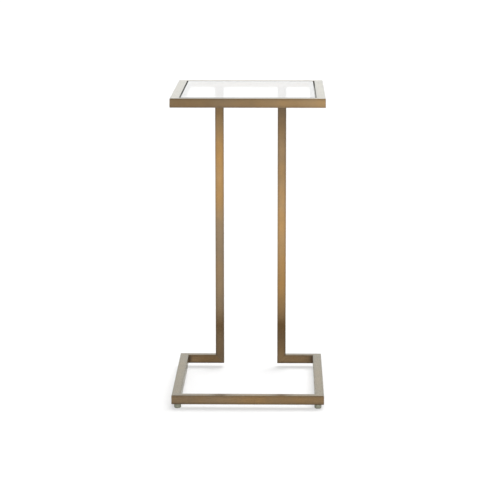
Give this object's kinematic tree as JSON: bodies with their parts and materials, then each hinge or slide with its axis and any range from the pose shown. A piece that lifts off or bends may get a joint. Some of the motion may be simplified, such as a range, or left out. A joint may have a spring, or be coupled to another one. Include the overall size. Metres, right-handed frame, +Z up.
{
  "type": "pull-up table",
  "caption": "C-shaped side table of mitred square brass-finished tube with an inset clear glass top, an open seat gap and levelling feet.",
  "frame": {"origin": "on the floor, under the middle of the plan", "axes": "+Z up, -Y towards the front, +X to the right as seen from the front"},
  "size_m": [0.32, 0.405, 0.652],
  "materials": {
    "aged_brass": "steel tube with a brushed, aged brass plating",
    "weld_metal": "weld bead under the same aged brass plating",
    "clear_glass": "clear tempered glass with ground edges",
    "clear_bumper": "clear soft bumper",
    "plated_steel": "zinc-plated steel",
    "pad_plastic": "moulded grey-green plastic"
  },
  "bodies": {
    "frame": {"top_front_rail": "aged_brass", "top_rear_rail": "aged_brass", "top_left_rail": "aged_brass", "top_right_rail": "aged_brass", "base_front_rail": "aged_brass", "base_left_rail": "aged_brass", "base_right_rail": "aged_brass", "base_rear_left_stub": "aged_brass", "base_rear_right_stub": "aged_brass", "left_upright": "aged_brass", "right_upright": "aged_brass", "glass_ledge_front": "aged_brass", "glass_ledge_rear": "aged_brass", "glass_ledge_left": "aged_brass", "glass_ledge_right": "aged_brass", "ledge_welds": "weld_metal", "upright_welds": "weld_metal", "glass_bumpers": "clear_bumper", "front_left_rivet_nut": "plated_steel", "front_right_rivet_nut": "plated_steel", "rear_left_rivet_nut": "plated_steel", "rear_right_rivet_nut": "plated_steel"},
    "glass": {"glass_top": "clear_glass"},
    "front_left_leveller": {"front_left_leveller_stud": "plated_steel", "front_left_leveller_pad": "pad_plastic"},
    "front_right_leveller": {"front_right_leveller_stud": "plated_steel", "front_right_leveller_pad": "pad_plastic"},
    "rear_left_leveller": {"rear_left_leveller_stud": "plated_steel", "rear_left_leveller_pad": "pad_plastic"},
    "rear_right_leveller": {"rear_right_leveller_stud": "plated_steel", "rear_right_leveller_pad": "pad_plastic"}
  },
  "joints": [
    {"name": "glass_lift", "type": "slide", "parent": "frame", "child": "glass", "axis": [0, 0, 1], "range_m": [0, 0.03]},
    {"name": "front_left_leveller_screw", "type": "slide", "parent": "frame", "child": "front_left_leveller", "axis": [0, 0, -1], "range_m": [0, 0.008]},
    {"name": "front_right_leveller_screw", "type": "slide", "parent": "frame", "child": "front_right_leveller", "axis": [0, 0, -1], "range_m": [0, 0.008]},
    {"name": "rear_left_leveller_screw", "type": "slide", "parent": "frame", "child": "rear_left_leveller", "axis": [0, 0, -1], "range_m": [0, 0.008]},
    {"name": "rear_right_leveller_screw", "type": "slide", "parent": "frame", "child": "rear_right_leveller", "axis": [0, 0, -1], "range_m": [0, 0.008]}
  ]
}
